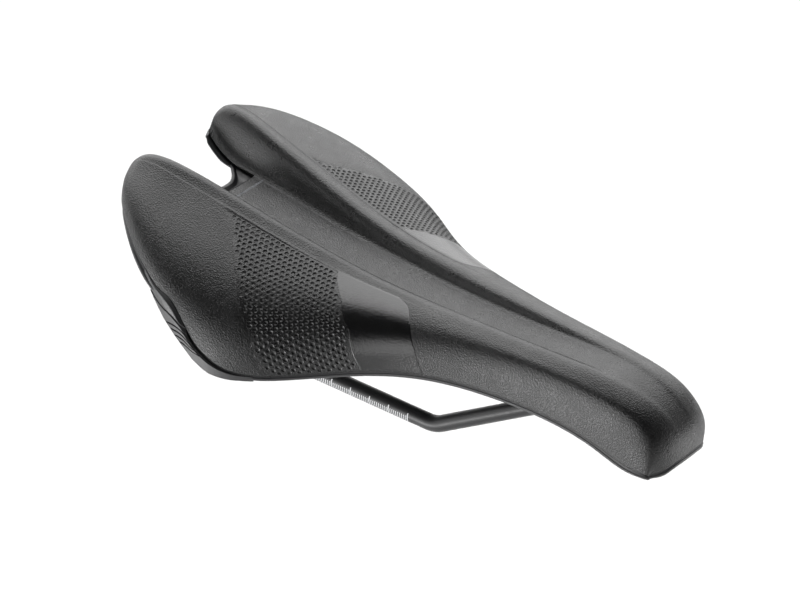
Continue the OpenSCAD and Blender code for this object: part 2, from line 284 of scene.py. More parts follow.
def zone_distance(u, v, front, step=0.02):
    """Rough distance in mm inside the zone between the crease, the rear and front edges and the rim."""
    along_u = spline(OUTER, u + step, v) - spline(OUTER, u - step, v)
    along_v = spline(OUTER, u, np.minimum(v + step, V_MAX)) - spline(OUTER, u, v - step)
    pace_u = np.linalg.norm(along_u, axis=-1) / (2 * step)
    pace_v = np.linalg.norm(along_v, axis=-1) / (2 * step)
    rear = (u - edge_u(ZONE_REAR, v)) * pace_u * REAR_SLANT
    ahead = (edge_u(front, v) - u) * pace_u * FRONT_SLANT
    top = (v - crease_v(u)) * pace_v
    rim = (edge_v(u) - v) * pace_v + ZONE_RIM_MM
    inwards = np.stack([ZONE_CORNER_MM - np.minimum(gap, ZONE_CORNER_MM) for gap in (top, ahead)])
    rounded = ZONE_CORNER_MM - np.sqrt((inwards**2).sum(0))
    return np.minimum(np.minimum(rear, rounded), rim)


# ---- mesh building
def add_object(name, points_mm, faces, smooth_faces=True):
    """A mesh object in the scene from points in millimetres."""
    mesh = bpy.data.meshes.new(name)
    mesh.from_pydata((np.asarray(points_mm, float) * MM).tolist(), [], [list(f) for f in faces])
    mesh.update()
    if smooth_faces:
        mesh.shade_smooth()
    obj = bpy.data.objects.new(name, mesh)
    bpy.context.scene.collection.objects.link(obj)
    return obj


def finish_piece(obj, material, slot, *nodes):
    """Give a piece its finish, its body and the CAD nodes it stands for; slot is not used."""
    obj.data.materials.append(material)
    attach(obj, "root")
    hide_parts(*nodes)


def mirrored(points):
    """The same points on the other side of the mirror plane."""
    return points * np.array([1, -1, 1])


def spaced(knots, step, fine, reach):
    """Values from the first knot to the last, at step, closing to fine within reach of each knot."""
    values = [knots[0]]
    while values[-1] < knots[-1] - 1e-6:
        here = values[-1]
        gap = min(abs(here + fine / 2 - k) for k in knots)
        size = fine + (step - fine) * min(1, gap / reach)
        after = min([k for k in knots if k > here + 1e-6])
        values.append(after if here + size * 1.3 > after else here + size)
    return np.array(values)


# Places across the channel strip, from the left corner (1) to the right (-1), corners left out.
STRIP = np.linspace(1, -1, 17)[1:-1]


def spread(us, cs, place, strip_u=None):
    """Rows of points across the whole width: left wing, channel strip, right wing.

    place(u, c) gives the left wing's points, with c = 0 at the channel and c = 9 at the rim.
    strip_u(u, w) shifts the strip's rows, for a rounded notch; w runs as STRIP does."""
    u, c = np.meshgrid(us, cs, indexing="ij")
    left = place(u, c)
    u, w = np.meshgrid(us, STRIP, indexing="ij")
    corner = place(u if strip_u is None else strip_u(u, w), np.zeros_like(u))
    w = w[..., None]
    strip = corner * (1 + w) / 2 + mirrored(corner) * (1 - w) / 2
    return np.concatenate([left[:, ::-1], strip, mirrored(left)], 1)


def grid_cells(us, columns, notch, wing):
    """Quads over the grid, leaving out the channel strip behind the notch."""
    cells = []
    for i in range(len(us) - 1):
        for j in range(columns - 1):
            in_strip = wing - 1 <= j < columns - wing
            if in_strip and us[i] < notch - 1e-6:
                continue
            a = i * columns + j
            cells.append((a, a + 1, a + columns + 1, a + columns))
    return cells


def boundary_edges(cells):
    """Directed edges that only one cell has."""
    edges = set()
    for f in cells:
        for k in range(len(f)):
            edges.add((f[k], f[(k + 1) % len(f)]))
    return [e for e in edges if (e[1], e[0]) not in edges]


def closed_sheet(name, face, back, cells, profile, edge_depth, flare=None):
    """A closed piece between two grids of points whose edge follows a profile.

    profile is a list of (share, inset): share of edge_depth down the edge, and mm inwards.
    The last entry is where the back grid starts.  flare multiplies the outward steps."""
    face, back = face.reshape(-1, 3), back.reshape(-1, 3).copy()
    line = unit(back - face)
    edges = sorted(boundary_edges(cells))
    rim = sorted({e[0] for e in edges})
    out = {k: np.zeros(3) for k in rim}
    for a, b in edges:
        side = np.cross(unit(face[b] - face[a]), -(line[a] + line[b]) / 2)
        out[a] += side
        out[b] += side
    depth = edge_depth.reshape(-1)
    flare = np.ones(len(face)) if flare is None else flare.reshape(-1)
    points = [face, back]
    count = 2 * len(face)
    ring_of = [{k: k for k in rim}]
    for share, inset in profile:
        last = (share, inset) == profile[-1]
        ring = {}
        for k in rim:
            o = out[k] / np.linalg.norm(out[k])
            reach = inset * flare[k] if inset < 0 else inset
            p = face[k] + line[k] * depth[k] * share - o * reach
            if last:
                back[k] = p
                ring[k] = len(face) + k
            else:
                ring[k] = count
                points.append(p[None])
                count += 1
        ring_of.append(ring)
    points[1] = back
    faces = list(cells) + [tuple(len(face) + k for k in reversed(f)) for f in cells]
    for upper, lower in zip(ring_of, ring_of[1:]):
        for a, b in edges:
            faces.append((upper[b], upper[a], lower[a], lower[b]))
    points = np.concatenate(points)
    used = np.unique(np.concatenate([np.array(f) for f in faces]))
    index = {k: n for n, k in enumerate(used.tolist())}
    return add_object(name, points[used], [[index[k] for k in f] for f in faces])


# ---- materials
# Pebbles and finer grain per metre, and how far into a gap the painted crevice shade reaches, in
# metres.
PEBBLES = 1700
FINE_GRAIN = 3300
CREVICE_SHADE_REACH = 0.0016


class Nodes:
    """A material's node tree with short ways to add what the finishes share."""

    def __init__(self, name, colour, roughness, specular=0.5, metallic=0.0):
        self.material = bpy.data.materials.new(name)
        self.material.use_nodes = True
        self.tree = self.material.node_tree
        self.shader = self.tree.nodes["Principled BSDF"]
        self.shader.inputs["Base Color"].default_value = (*colour, 1)
        self.shader.inputs["Roughness"].default_value = roughness
        self.shader.inputs["Specular IOR Level"].default_value = specular
        self.shader.inputs["Metallic"].default_value = metallic
        self.colour = colour
        self.place = self.add("ShaderNodeTexCoord").outputs["Object"]

    def add(self, kind, **settings):
        node = self.tree.nodes.new(kind)
        for key, value in settings.items():
            setattr(node, key, value)
        return node

    def link(self, output, target):
        self.tree.links.new(output, target)

    def noise(self, per_metre, detail=3, rough=0.5, stretch=None):
        node = self.add("ShaderNodeTexNoise")
        node.inputs["Scale"].default_value = per_metre
        node.inputs["Detail"].default_value = detail
        node.inputs["Roughness"].default_value = rough
        self.link(self.stretched(stretch), node.inputs["Vector"])
        return node.outputs["Fac"]

    def cells(self, per_metre, feature="F1"):
        node = self.add("ShaderNodeTexVoronoi", feature=feature)
        node.inputs["Scale"].default_value = per_metre
        self.link(self.place, node.inputs["Vector"])
        return node.outputs["Distance"]

    def stretched(self, stretch):
        if stretch is None:
            return self.place
        node = self.add("ShaderNodeMapping")
        node.inputs["Scale"].default_value = stretch
        self.link(self.place, node.inputs["Vector"])
        return node.outputs["Vector"]

    def ranged(self, value, lo, hi, to_lo, to_hi):
        """to_lo up to lo, moving smoothly to to_hi at hi."""
        node = self.add("ShaderNodeMapRange", interpolation_type="SMOOTHSTEP")
        node.inputs["From Min"].default_value = lo
        node.inputs["From Max"].default_value = hi
        node.inputs["To Min"].default_value = to_lo
        node.inputs["To Max"].default_value = to_hi
        self.link(value, node.inputs["Value"])
        return node.outputs["Result"]

    def maths(self, operation, a, b):
        """An operation on two values, each an output or a plain number."""
        node = self.add("ShaderNodeMath", operation=operation)
        for value, target in ((a, node.inputs[0]), (b, node.inputs[1])):
            if isinstance(value, (int, float)):
                target.default_value = value
            else:
                self.link(value, target)
        return node.outputs["Value"]

    def tint(self, factor, low, high):
        """Base colour between two multiples of the material's own colour."""
        node = self.add("ShaderNodeMix", data_type="RGBA")
        self.link(factor, node.inputs["Factor"])
        for socket, scale in ((node.inputs["A"], low), (node.inputs["B"], high)):
            socket.default_value = (*[c * scale for c in self.colour], 1)
        self.link(node.outputs["Result"], self.shader.inputs["Base Color"])

    def gloss(self, factor, lo, hi):
        """Roughness wandering between lo and hi."""
        self.link(self.ranged(factor, 0.3, 0.7, lo, hi), self.shader.inputs["Roughness"])

    def relief(self, height, distance):
        """Fine bumps, distance metres from low to high."""
        node = self.add("ShaderNodeBump")
        node.inputs["Distance"].default_value = distance
        self.link(height, node.inputs["Height"])
        self.link(node.outputs["Normal"], self.shader.inputs["Normal"])

    def painted_crevice_shade(self, distance):
        """Share of shine left: painted shade, the shine dimmed by ambient occlusion in narrow recesses.
        """
        shade = self.add("ShaderNodeAmbientOcclusion", samples=6)
        shade.inputs["Distance"].default_value = distance
        return self.ranged(shade.outputs["AO"], 0.5, 0.9, 0.08, 1)

    def outline(self):
        """Share of shine left: painted dark outline, the shine cut where the surface turns away from
        the view.
        """
        turn = self.add("ShaderNodeLayerWeight")
        return self.ranged(turn.outputs["Facing"], 0.62, 0.92, 1, 0.1)

    def shine(self, specular, shares):
        """Specular level, cut down by each share."""
        level = specular
        for share in shares:
            level = self.maths("MULTIPLY", share, level)
        self.link(level, self.shader.inputs["Specular IOR Level"])

    def worn_edges(self, colour, amount):
        """Convex edges rub paler.  Comes after tint."""
        geometry = self.add("ShaderNodeNewGeometry")
        wear = self.ranged(geometry.outputs["Pointiness"], 0.53, 0.6, 0, amount)
        mix = self.add("ShaderNodeMix", data_type="RGBA")
        self.link(wear, mix.inputs["Factor"])
        self.link(self.shader.inputs["Base Color"].links[0].from_socket, mix.inputs["A"])
        mix.inputs["B"].default_value = (*colour, 1)
        self.link(mix.outputs["Result"], self.shader.inputs["Base Color"])


def leather(name, grain, roughness, painted_gap_shade, specular=0.5):
    """Embossed synthetic leather: small pebbles with fine creases between them."""
    m = Nodes(name, (0.0042, 0.0042, 0.0044), roughness, specular)
    m.tint(m.noise(60, 4), 0.8, 1.25)
    m.gloss(m.noise(140, 5), roughness - 0.03, roughness + 0.05)
    pebbles = m.ranged(m.cells(PEBBLES, "SMOOTH_F1"), 0.1, 0.6, 1, 0)
    fine = m.ranged(m.cells(FINE_GRAIN), 0.1, 0.6, 1, 0)
    height = m.maths("ADD", pebbles, m.maths("MULTIPLY", fine, 0.5))
    m.relief(height, 0.00008 * grain)
    # Painted shade: the shine is dimmed at the outline, and in narrow recesses when asked.
    m.shine(specular, [m.outline(), m.painted_crevice_shade(CREVICE_SHADE_REACH)] if painted_gap_shade else [m.outline()])
    m.worn_edges((0.02, 0.02, 0.021), 0.3)
    return m.material


def film_finish():
    """Smooth grip film: a satin sheet with a trace of orange peel."""
    m = Nodes("grip_film_finish", (0.003, 0.003, 0.0032), 0.2, 0.62)
    m.tint(m.noise(70, 3), 0.85, 1.2)
    m.gloss(m.noise(300, 3), 0.18, 0.22)
    m.relief(m.ranged(m.cells(PEBBLES, "SMOOTH_F1"), 0.1, 0.6, 1, 0), 0.00003)
    return m.material


def moulded(name, colour, roughness, grain=1.0, specular=0.5):
    """Injection-moulded plastic: spark-eroded grain, faint flow marks and paler rubbed edges."""
    m = Nodes(name, colour, roughness, specular)
    m.tint(m.noise(45, 4, 0.6, (0.4, 1.6, 1.6)), 0.8, 1.3)
    m.gloss(m.noise(90, 4), roughness - 0.04, roughness + 0.06)
    m.relief(m.noise(2200, 3, 0.7), 0.00006 * grain)
    m.worn_edges([c * 2.2 + 0.01 for c in colour], 0.6)
    # Painted shade: the shine is dimmed in narrow recesses.
    m.shine(specular, [m.painted_crevice_shade(CREVICE_SHADE_REACH)])
    return m.material


def painted_steel():
    """Black-coated steel rod with drawing lines along it and light scuffs."""
    m = Nodes("rail_finish", (0.008, 0.008, 0.0085), 0.36, 0.4)
    m.tint(m.noise(120, 4), 0.8, 1.4)
    m.gloss(m.noise(900, 4, 0.6, (0.08, 1, 1)), 0.33, 0.42)
    m.relief(m.noise(1600, 2, 0.5, (0.05, 1, 1)), 0.00002)
    m.worn_edges((0.05, 0.05, 0.055), 0.4)
    return m.material


def plated():
    """Zinc-plated screws: brushed and a little cloudy."""
    m = Nodes("zinc_finish", (0.5, 0.51, 0.54), 0.32, 0.5, 0.9)
    m.tint(m.noise(700, 5), 0.6, 1.1)
    m.gloss(m.noise(1500, 4, 0.6), 0.24, 0.42)
    m.relief(m.noise(2400, 3, 0.5, (1, 1, 0.1)), 0.00004)
    m.worn_edges((0.75, 0.76, 0.78), 0.6)
    return m.material


def print_ink():
    """Pale grey printing ink, slightly rough and uneven."""
    m = Nodes("scale_ink", (0.62, 0.63, 0.64), 0.55, 0.4)
    m.tint(m.noise(2600, 4), 0.7, 1.1)
    m.relief(m.noise(4000, 2), 0.00001)
    return m.material


def open_foam():
    """Grey polyurethane foam with an open-cell skin."""
    m = Nodes("foam_finish", (0.2, 0.205, 0.215), 0.9, 0.2)
    m.tint(m.cells(700), 1.2, 0.6)
    m.relief(m.ranged(m.cells(700), 0.05, 0.5, 0, 1), 0.00035)
    return m.material


def gel():
    """Amber gel insert, slightly clear, with a few faint flow clouds."""
    m = Nodes("gel_finish", (0.55, 0.42, 0.16), 0.28, 0.5)
    m.tint(m.noise(90, 4), 0.75, 1.15)
    m.shader.inputs["Subsurface Weight"].default_value = 0.35
    m.shader.inputs["Subsurface Radius"].default_value = (0.004, 0.002, 0.001)
    m.relief(m.noise(500, 3), 0.00012)
    return m.material


# ---- cover
# The grid column that follows the crease.
CREASE_C = 4.95
# Inside the crease v moves about INNER_PACE_MM a unit, and the step there fades out over STEP_FADE_MM.
INNER_PACE_MM = 12
STEP_FADE_MM = 12
# The grip patch lies in a recess, and the rear of each wing is crowned along the crease.
RECESS_MM = 0.45
CROWN_MM = 0.4
CROWN_V = 4.6
CROWN_REACH_V = 1.3
# The cover's edge rolls under, as (share of depth, mm inwards).
COVER_EDGE = [(0.12, 0.02), (0.3, 0.1), (0.5, 0.26), (0.7, 0.5), (0.88, 0.85), (1.0, 1.25)]
# The shell's lip stands a little proud of the cover, below the parting groove.
LIP_EDGE = [(0.05, -0.2), (0.18, -0.4), (0.6, -0.45), (0.8, -0.32), (0.94, 0.0), (1.0, 0.5)]
GROOVE_MM = 0.35
GROOVE_WIDTH_MM = 1.2
GROOVE_WALL_MM = 0.2
# The web behind the channel is dished, and its rear edge curves forward in the middle.
WEB_DISH_MM = 1.5
WEB_NOTCH_U = 0.62
NOTCH_FLARE = 4.2
REAR_FLARE = 2.5
# The cover's edge stops this far above the shell, within these limits.
EDGE_GAP_MM = 0.12
EDGE_LEAST_MM = 0.95
EDGE_MOST_MM = 2.0


def warped(u, c):
    """The v for column c: CREASE_C follows the crease, and V_MAX the cover's edge."""
    line, low = crease_v(u), edge_v(u)
    outside = line + (c - CREASE_C) * (low - line) / (V_MAX - CREASE_C)
    return np.where(c < CREASE_C, c * line / CREASE_C, outside)


def face_relief(u, v):
    """How far the cover's face stands proud of the plain surface, in mm."""
    inner = (crease_v(u) - v) * INNER_PACE_MM
    step = crease_depth(u) * smooth(0.0, 0.45, inner) * (1 - smooth(1, STEP_FADE_MM, inner))
    recess = RECESS_MM * smooth(0.5, 1.3, zone_distance(u, v, RECESS_FRONT))
    crown = CROWN_MM * bump((v - CROWN_V) / CROWN_REACH_V)
    crown = crown * smooth(0.5, 1.2, u) * (1 - smooth(5, 7, u))
    return crown - step - recess


def face_at(u, c):
    """The cover's face, with its relief."""
    v = warped(u, c)
    return spline(OUTER, u, v) + normal(u, v) * face_relief(u, v)[..., None]


def below(u, v, depth):
    """Points depth mm below the face, along the line to the underside."""
    top, low = spline(OUTER, u, v), spline(UNDER, u, v)
    return top + unit(low - top) * depth[..., None]


def thickness(u, v):
    return np.linalg.norm(spline(UNDER, u, v) - spline(OUTER, u, v), axis=-1)


def shell_depth(u, v):
    """Depth in mm of the shell's face below the cover's."""
    return np.maximum(COVER_MM, thickness(u, v) - SHELL_MM)


def parting_groove(u, c, pace=5, clear=20):
    """Depth in mm of the groove in the shell's face, just inside its free edges.

    pace is the rough size in mm of a step in u or c at the tail; the channel's side has no groove
    ahead of the shell's notch, so there clear mm are added to the distance."""
    rim = (V_MAX - c) * rim_pace(u)
    tail = u * pace
    channel = c * pace + clear * smooth(SHELL_NOTCH - 0.1, SHELL_NOTCH + 0.3, u)
    inside = np.minimum(np.minimum(rim, tail), channel)
    width = GROOVE_WIDTH_MM + TAIL_GAP_MM * tail_gap(u)
    return GROOVE_MM * (1 - smooth(width - GROOVE_WALL_MM, width + GROOVE_WALL_MM, inside))


def full_columns():
    return spaced([0, CREASE_C, V_MAX], 0.2, 0.03, 0.7)


def full_rows(notch):
    return spaced([0, notch, U_MAX], 0.11, 0.03, 0.4)


def spread_value(us, cs, place):
    """One number per point of the spread grid."""
    return spread(us, cs, lambda u, c: place(u, c)[..., None] * np.array([1.0, 0.0, 0.0]))[..., 0]


def web_u(u, w):
    """The shell's web behind the channel ends in a rounded notch."""
    behind = 1 - smooth(SHELL_NOTCH, SHELL_NOTCH + 1.7, u)
    return u + WEB_NOTCH_U * (1 - np.abs(w) ** 2.5) * behind


def lip_flare(u, c):
    """The shell's lip widens round the notch and along the rear of each wing."""
    notch = (1 - smooth(0.5, 1.5, c)) * (1 - smooth(1.3, 2.2, u)) * (0.6 + 0.4 * smooth(0, 0.4, u))
    rear = smooth(8.5, V_MAX, c) * smooth(0.3, 1.2, u) * (1 - smooth(3.4, 4.2, u))
    return 1 + NOTCH_FLARE * notch + REAR_FLARE * rear


def make_cover():
    us, cs = full_rows(PAD_NOTCH), full_columns()
    face = spread(us, cs, face_at)
    back = spread(us, cs, lambda u, c: below(u, warped(u, c), np.full(u.shape, COVER_MM)))
    edge = spread_value(us, cs, lambda u, c: shell_depth(u, warped(u, c)))
    edge = np.clip(edge - EDGE_GAP_MM, EDGE_LEAST_MM, EDGE_MOST_MM)
    cells = grid_cells(us, face.shape[1], PAD_NOTCH, len(cs))
    obj = closed_sheet("cover_skin", face, back, cells, COVER_EDGE, edge)
    finish_piece(obj, leather("cover_leather", 1.0, 0.3, True), "cover_skin", "cover")


def make_shell():
    us, cs = full_rows(SHELL_NOTCH), full_columns()
    face = spread(us, cs, lambda u, c: below(u, c, shell_depth(u, c) + parting_groove(u, c)), web_u)
    back = spread(us, cs, lambda u, c: below(u, c, thickness(u, c)), web_u)
    # The web is dished ahead of its rear lip.
    strip = slice(len(cs), len(cs) + len(STRIP))
    dish = WEB_DISH_MM * smooth(SHELL_NOTCH + 0.1, SHELL_NOTCH + 0.2, us) * (1 - smooth(3.1, 3.5, us))
    face[:, strip, 2] -= dish[:, None] * (1 - np.abs(STRIP) ** 8)
    edge = np.linalg.norm(back - face, axis=-1)
    flare = spread_value(us, cs, lip_flare)
    cells = grid_cells(us, face.shape[1], SHELL_NOTCH, len(cs))
    obj = closed_sheet("shell_body", face, back, cells, LIP_EDGE, edge, flare)
    finish_piece(obj, moulded("shell_nylon", (0.018, 0.018, 0.019), 0.36), "nylon", "shell")


# ---- foam and inserts
INSERT_U = (3.0, 6.0)
INSERT_V = (4.4, 7.4)
INSERT_MM = 4.0
INSERT_LEAST_MM = 0.02
INSERT_ROUNDNESS = 2.6
INSERT_SHARE = 0.42
INSERT_STEPS = 40
FOAM_GAP_MM = 0.06
FOAM_INSET_U = 0.35
FOAM_INSET_V = 0.55
FOAM_NOTCH = PAD_NOTCH + 0.3
# The foam's edge bulges a little, as (share of depth, mm inwards).
FOAM_EDGE = [(0.25, -0.15), (0.5, -0.2), (0.75, -0.15), (1.0, 0.0)]


def rounded_radius(a, b):
    """1 on a rounded square's outline, 0 at its centre."""
    return (np.abs(a) ** INSERT_ROUNDNESS + np.abs(b) ** INSERT_ROUNDNESS) ** (1 / INSERT_ROUNDNESS)


def insert_height(u, v):
    """Crowned lens on the shell, thin at its edge."""
    a = (u - sum(INSERT_U) / 2) / ((INSERT_U[1] - INSERT_U[0]) / 2)
    b = (v - sum(INSERT_V) / 2) / ((INSERT_V[1] - INSERT_V[0]) / 2)
    r = rounded_radius(a, b)
    most = np.minimum(INSERT_MM, INSERT_SHARE * (shell_depth(u, v) - COVER_MM))
    return np.where(r < 1, most * np.sqrt(np.clip(1 - r**2, 0, 1)), 0.0)


def foam_v(u, c):
    """Behind the notch the foam's inner edge stays inside the cover's."""
    return c + 0.5 * (1 - smooth(FOAM_NOTCH, FOAM_NOTCH + 0.5, u)) * (1 - smooth(0, 2, c))


def foam_face(u, c):
    return below(u, foam_v(u, c), np.full(u.shape, COVER_MM + FOAM_GAP_MM))


def foam_seat(u, c):
    """The foam's underside, on the shell and hollowed over the inserts."""
    v = foam_v(u, c)
    depth = shell_depth(u, v) - insert_height(u, v) - FOAM_GAP_MM
    return below(u, v, np.maximum(depth, COVER_MM + 2 * FOAM_GAP_MM))


def make_foam():
    us = spaced([FOAM_INSET_U, FOAM_NOTCH, U_MAX - FOAM_INSET_U], 0.16, 0.06, 0.4)
    cs = spaced([0, V_MAX - FOAM_INSET_V], 0.22, 0.06, 0.5)
    face, back = spread(us, cs, foam_face), spread(us, cs, foam_seat)
    edge = np.linalg.norm(back - face, axis=-1)
    cells = grid_cells(us, face.shape[1], FOAM_NOTCH, len(cs))
    obj = closed_sheet("foam_core", face, back, cells, FOAM_EDGE, edge)
    finish_piece(obj, open_foam(), "foam", "foam_pad")


def turned(quad, side):
    """A face's corners in the order that faces outwards on that side (1 left, -1 right)."""
    return quad if side > 0 else quad[::-1]


def make_insert(side, name, node, material):
    a = np.linspace(-1, 1, INSERT_STEPS + 1)
    sa, sb = np.meshgrid(a, a, indexing="ij")
    # Square grid squeezed to a rounded outline.
    shrink = np.maximum(np.abs(sa), np.abs(sb)) / np.maximum(rounded_radius(sa, sb), 1e-6)
    ra, rb = sa * shrink, sb * shrink
    u = sum(INSERT_U) / 2 + ra * (INSERT_U[1] - INSERT_U[0]) / 2
    v = sum(INSERT_V) / 2 + rb * (INSERT_V[1] - INSERT_V[0]) / 2
    base = shell_depth(u, v)
    high = below(u, v, base - insert_height(u, v) - INSERT_LEAST_MM)
    low = below(u, v, base)
    if side < 0:
        high, low = mirrored(high), mirrored(low)
    n = INSERT_STEPS + 1
    cells = []
    for i in range(INSERT_STEPS):
        for j in range(INSERT_STEPS):
            k = i * n + j
            cells.append(turned((k, k + n, k + n + 1, k + 1), side))
    edge = np.linalg.norm(low - high, axis=-1)
    obj = closed_sheet(name, high, low, cells, [(1.0, 0.05)], edge)
    finish_piece(obj, material, "gel", node)


# ---- grip film
# The even grid is measured along this v, and across from FILM_FROM_V to the rim.
FILM_MID_V = 6.5
FILM_FROM_V = 4.6
FILM_COLUMNS_ABOVE = 4
SAMPLES_U = 600
SAMPLES_V = 300


def film_grid(step, u_range):
    """The zone's grid, step mm apart both ways, with column b = 0 on the crease.

    Gives u and v of each point, whether it lies past the rim, and the places a along and b across."""
    dense_u = np.linspace(u_range[0], u_range[1], SAMPLES_U)
    middle = spline(OUTER, dense_u, np.full(SAMPLES_U, FILM_MID_V))
    run = np.concatenate([[0], np.cumsum(np.linalg.norm(np.diff(middle, axis=0), axis=1))])
    a = np.arange(0, run[-1], step)
    us = np.interp(a, run, dense_u)
    rows_v = np.linspace(FILM_FROM_V, V_MAX, SAMPLES_V)
    u_all = np.repeat(us[:, None], SAMPLES_V, 1)
    v_all = np.repeat(rows_v[None], len(us), 0)
    across = np.linalg.norm(np.diff(spline(OUTER, u_all, v_all), axis=1), axis=2)
    reach = np.concatenate([np.zeros((len(us), 1)), np.cumsum(across, 1)], 1)
    start = np.array([np.interp(crease_v(u), rows_v, r) for u, r in zip(us, reach)])
    longest = (reach[:, -1] - start).max()
    b = np.arange(-FILM_COLUMNS_ABOVE, int(longest / step) + 1) * step
    v = np.array([np.interp(b + s, r, rows_v) for s, r in zip(start, reach)])
    over = (b[None] + start[:, None]) > reach[:, -1:]
    u = np.repeat(us[:, None], len(b), 1)
    return u, v, over, a, b


def dimples(u, v, a, b):
    """Crater depth in mm of the staggered dimples."""
    row = np.round(b / DIMPLE_ROW_MM)
    shift = np.where(row.astype(int) % 2 == 0, 0.0, DIMPLE_PITCH_MM / 2)
    place_a = a[:, None] - shift[None]
    centre_a = np.round(place_a / DIMPLE_PITCH_MM) * DIMPLE_PITCH_MM + shift[None]
    centre_b = row * DIMPLE_ROW_MM
    r = np.hypot(a[:, None] - centre_a, (b - centre_b)[None])
    step_a, step_b = a[1] - a[0], b[1] - b[0]
    ia = np.clip(np.round(centre_a / step_a).astype(int), 0, len(a) - 1)
    ib = np.clip(np.round((centre_b - b[0]) / step_b).astype(int), 0, len(b) - 1)
    ib = np.repeat(ib[None], len(a), 0)
    inside = zone_distance(u[ia, ib], v[ia, ib], ZONE_FRONT) > DIMPLE_CLEAR_MM
    crater = DIMPLE_DEPTH_MM * (1 - smooth(DIMPLE_FLOOR_MM, DIMPLE_RADIUS_MM, r))
    lip = DIMPLE_LIP_MM * bump((r - DIMPLE_RADIUS_MM - DIMPLE_LIP_OUT_MM) / DIMPLE_LIP_HALF_MM)
    return np.where(inside, crater - lip, 0.0)


# Heights in mm over the plain surface: each sheet's edge and middle, its underside, and how much
# deeper the textured sheet's underside lies in the recess.  Both reach SKIRT_MM past the zone.
TEXTURE_EDGE_MM, TEXTURE_TOP_MM = -0.05, 0.01
FILM_EDGE_MM, FILM_TOP_MM = -0.12, 0.06
SHEET_BOTTOM_MM = -0.16
RECESS_FILL_MM = 0.27
SKIRT_MM = 0.6
# Millimetres per unit of u about the film's rear edge.
FILM_PACE_MM = 17
TEXTURE_STEP_MM = 0.2
TEXTURE_U = (4.0, 8.4)
FILM_STEP_MM = 0.3
FILM_U = (6.6, 9.4)


def texture_heights(u, v, a, b):
    """Distance inside the dimpled sheet, and its top and bottom."""
    d = zone_distance(u, v, TEXTURE_FRONT)
    top = TEXTURE_EDGE_MM + (TEXTURE_TOP_MM - TEXTURE_EDGE_MM) * smooth(-SKIRT_MM, 1.0, d)
    top = top - dimples(u, v, a, b) * smooth(0.0, 0.6, d)
    deep = smooth(0.5, 1.3, zone_distance(u, v, RECESS_FRONT))
    return d, top, SHEET_BOTTOM_MM - RECESS_FILL_MM * deep


def film_heights(u, v):
    """Distance inside the smooth sheet, and its top and bottom."""
    d = zone_distance(u, v, FILM_FRONT)
    d = np.minimum(d, (u - edge_u(ZONE_FRONT, v)) * FILM_PACE_MM)
    top = FILM_EDGE_MM + (FILM_TOP_MM - FILM_EDGE_MM) * smooth(-0.2, 0.15, d)
    return d, top, np.full(u.shape, SHEET_BOTTOM_MM)


def film_piece(name, side, step, u_range, textured, material, node):
    u, v, over, a, b = film_grid(step, u_range)
    d, top, bottom = texture_heights(u, v, a, b) if textured else film_heights(u, v)
    n = normal(u, v)
    base = spline(OUTER, u, v)
    high = base + n * top[..., None]
    low = base + n * bottom[..., None]
    if side < 0:
        high, low = mirrored(high), mirrored(low)
    columns = len(b)
    keep = (d > -SKIRT_MM) & ~over
    cells = []
    for i, j in zip(*np.nonzero(keep[:-1, :-1] & keep[1:, :-1] & keep[:-1, 1:] & keep[1:, 1:])):
        k = int(i) * columns + int(j)
        cells.append(turned((k, k + columns, k + columns + 1, k + 1), side))
    edge = np.linalg.norm(low - high, axis=-1)
    obj = closed_sheet(name, high, low, cells, [(1.0, 0.0)], edge)
    finish_piece(obj, material, "grip_film", node)


# ---- scuff guards
GUARD_U = (3.35, 6.45)
GUARD_MM = 1.5
GUARD_DROP_MM = 3.9
GUARD_LEAN = 0.25
GUARD_ROWS = 360
GUARD_COLUMNS = 48
# The guard's upper edge lies GUARD_TUCK_MM below the cover's edge, less GUARD_CLIMB_MM where that
# edge rises, and sinks in there.  The face stands GUARD_PROUD_MM out of the rim before its bulge.
GUARD_TUCK_MM = 1.2
GUARD_CLIMB_MM = 0.9
GUARD_PROUD_MM = 0.12
GUARD_SINK_MM = 0.35
# The guard's bulge along its length, as a share of GUARD_MM outwards and GUARD_DROP_MM down.
GROWTH_U = [3.35, 3.6, 3.9, 4.25, 4.6, 5.2, 5.6, 5.9, 6.2, 6.45]
GROWTH = [0, 0.16, 0.5, 0.84, 0.95, 1, 0.8, 0.42, 0.12, 0]
GUARD_GROOVES = 4
GUARD_GROOVE_MM = 0.85
GUARD_GROOVE_HALF_U = 0.028
FIRST_GROOVE_U = 5.0
GROOVE_SPACING_U = 0.15
STEP_LINE_MM = 0.8
STEP_LINE_HALF_U = 0.035
STRIP_MM = 0.3
# The guard's rounded lower edge: (share of the way in under the rim, mm below the straight line).
GUARD_ROUNDING = ((0.12, 0.3), (0.35, 0.42), (0.7, 0.25), (1.0, -0.1))


def guard_growth(u):
    return np.interp(u, GROWTH_U, GROWTH)


def guard_surface(u, q):
    """Face of the guard: q = 0 at its upper edge and 1 at its lower edge."""
    upper = bite(u) + GUARD_CLIMB_MM * smooth(0.05, 1.5, bite(u)) - GUARD_TUCK_MM
    lower = -RIM_MM - GUARD_DROP_MM * guard_growth(u)
    s = upper * (1 - q) + lower * q
    rim = V_MAX + 0 * u
    tangent = spline(OUTER, u + 0.02, rim) - spline(OUTER, u - 0.02, rim)
    out = unit(np.stack([-tangent[..., 1], tangent[..., 0], 0 * u], -1))
    bulge = GUARD_MM * guard_growth(u) * smooth(-0.05, 0.12, q) - GUARD_LEAN * np.maximum(s, 0)
    sink = GUARD_SINK_MM * (1 - smooth(0.0, 0.12, q)) * smooth(0.2, 2, bite(u))
    offset = GUARD_PROUD_MM * smooth(0.02, 0.2, guard_growth(u)) + bulge - sink - groove_depth(u, q)
    return spline(OUTER, u, rim) + out * offset[..., None] + np.array([0, 0, 1.0]) * s[..., None]


